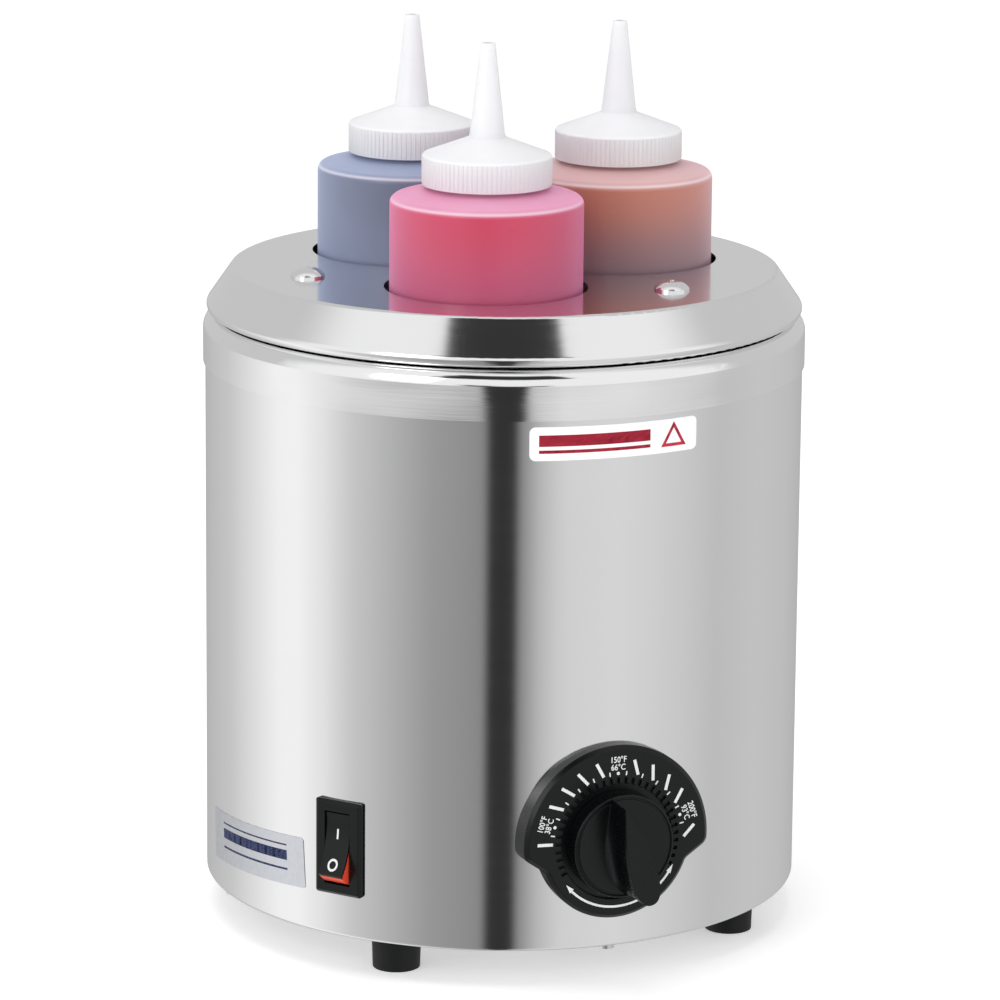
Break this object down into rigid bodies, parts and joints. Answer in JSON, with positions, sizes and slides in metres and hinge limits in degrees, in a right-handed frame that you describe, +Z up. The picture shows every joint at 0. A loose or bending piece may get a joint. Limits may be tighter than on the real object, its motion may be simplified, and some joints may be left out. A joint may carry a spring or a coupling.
{
  "type": "bottle warmer",
  "caption": "Round stainless countertop warmer with a lift-out lid rack, squeeze bottles, a thermostat dial and a rocker switch.",
  "frame": {"origin": "centre of the round body on the plane its feet stand on", "axes": "+Z up, -Y towards the thermostat dial, +Y towards the cord gland"},
  "size_m": [0.214, 0.2598, 0.3191],
  "materials": {
    "shroud_steel": "satin",
    "bright_steel": "polished",
    "screw_steel": "satin",
    "chrome_head": "polished",
    "black_moulding": "gloss",
    "black_rubber": "matt",
    "rocker_red": "gloss",
    "bottle_plastic": "translucent",
    "cap_plastic": "translucent",
    "sauce_red": "gloss",
    "sauce_caramel": "gloss",
    "sauce_slate": "gloss",
    "seal_foam": "matt",
    "brass": "satin",
    "element_sheath": "heat tinted",
    "phenolic": "matt",
    "copper_tube": "satin",
    "block_ceramic": "glazed",
    "wire_black": "matt",
    "wire_red": "matt",
    "wire_white": "matt",
    "wire_green": "matt",
    "label_face": "satin",
    "badge_foil": "brushed"
  },
  "bodies": {
    "base": {"shroud": "shroud_steel", "base_pan": "shroud_steel", "vessel": "bright_steel", "tie_stud": "screw_steel", "tie_nut": "screw_steel", "heating_element": "element_sheath", "element_strap": "screw_steel", "element_nut": "screw_steel", "thermostat_body": "phenolic", "thermostat_terminals": "brass", "thermostat_bulb": "copper_tube", "bulb_clip": "screw_steel", "dial_bezel": "black_moulding", "dial_screws": "screw_steel", "switch_housing": "black_moulding", "rocker_pin": "screw_steel", "switch_terminals": "brass", "cord_gland": "black_moulding", "gland_cap": "black_moulding", "gland_nut": "screw_steel", "terminal_block": "block_ceramic", "block_screws": "brass", "ground_stud": "brass", "line_wire": "wire_black", "load_wire": "wire_black", "element_wire": "wire_red", "neutral_wire": "wire_white", "ground_wire": "wire_green", "foot_front_left": "black_rubber", "foot_front_right": "black_rubber", "foot_rear_right": "black_rubber", "foot_rear_left": "black_rubber", "foot_screws": "screw_steel", "foot_nuts": "screw_steel", "base_screws": "screw_steel", "front_label": "label_face", "side_badge": "badge_foil"},
    "rack": {"lid_shell": "bright_steel", "lid_ring": "bright_steel", "rack_rods": "bright_steel", "rack_bolts": "chrome_head", "bottle_shelf": "bright_steel", "shelf_nuts": "screw_steel"},
    "bottle_front": {"bottle_front": "bottle_plastic", "sauce_front": "sauce_red"},
    "cap_rise_front": {"cap_seal_front": "seal_foam"},
    "cap_front": {"cap_front": "cap_plastic"},
    "bottle_right": {"bottle_right": "bottle_plastic", "sauce_right": "sauce_caramel"},
    "cap_rise_right": {"cap_seal_right": "seal_foam"},
    "cap_right": {"cap_right": "cap_plastic"},
    "bottle_left": {"bottle_left": "bottle_plastic", "sauce_left": "sauce_slate"},
    "cap_rise_left": {"cap_seal_left": "seal_foam"},
    "cap_left": {"cap_left": "cap_plastic"},
    "dial_shaft": {"thermostat_shaft": "screw_steel"},
    "knob": {"knob": "black_moulding"},
    "rocker": {"rocker_body": "rocker_red", "rocker_cap": "black_moulding"}
  },
  "joints": [
    {"name": "rack_lift", "type": "slide", "parent": "base", "child": "rack", "axis": [0, 0, 1], "range_m": [0, 0.135]},
    {"name": "bottle_front_lift", "type": "slide", "parent": "rack", "child": "bottle_front", "axis": [0, 0, 1], "range_m": [0, 0.14]},
    {"name": "cap_front_rise", "type": "slide", "parent": "bottle_front", "child": "cap_rise_front", "axis": [0, 0, 1], "range_m": [0, 0.0063]},
    {"name": "cap_front_turn", "type": "hinge", "parent": "cap_rise_front", "child": "cap_front", "pos_m": [-0.02155, -0.03733, 0.28], "axis": [0, 0, 1], "range_deg": [0, 540]},
    {"name": "bottle_right_lift", "type": "slide", "parent": "rack", "child": "bottle_right", "axis": [0, 0, 1], "range_m": [0, 0.14]},
    {"name": "cap_right_rise", "type": "slide", "parent": "bottle_right", "child": "cap_rise_right", "axis": [0, 0, 1], "range_m": [0, 0.0063]},
    {"name": "cap_right_turn", "type": "hinge", "parent": "cap_rise_right", "child": "cap_right", "pos_m": [0.0431, 0, 0.28], "axis": [0, 0, 1], "range_deg": [0, 540]},
    {"name": "bottle_left_lift", "type": "slide", "parent": "rack", "child": "bottle_left", "axis": [0, 0, 1], "range_m": [0, 0.14]},
    {"name": "cap_left_rise", "type": "slide", "parent": "bottle_left", "child": "cap_rise_left", "axis": [0, 0, 1], "range_m": [0, 0.0063]},
    {"name": "cap_left_turn", "type": "hinge", "parent": "cap_rise_left", "child": "cap_left", "pos_m": [-0.02155, 0.03733, 0.28], "axis": [0, 0, 1], "range_deg": [0, 540]},
    {"name": "dial_turn", "type": "hinge", "parent": "base", "child": "dial_shaft", "pos_m": [0, -0.11, 0.052], "axis": [0, 1, 0], "range_deg": [-70.5, 103.5]},
    {"name": "knob_pull", "type": "slide", "parent": "dial_shaft", "child": "knob", "axis": [0, -1, 0], "range_m": [0, 0.004]},
    {"name": "rocker_tilt", "type": "hinge", "parent": "base", "child": "rocker", "pos_m": [-0.08146, -0.06205, 0.0455], "axis": [0.606, -0.7955, 0], "range_deg": [0, 28]}
  ],
  "couplings": [
    {"joint": "cap_front_rise", "follows": "cap_front_turn", "m_per_rad": 0.00066845},
    {"joint": "cap_right_rise", "follows": "cap_right_turn", "m_per_rad": 0.00066845},
    {"joint": "cap_left_rise", "follows": "cap_left_turn", "m_per_rad": 0.00066845}
  ]
}
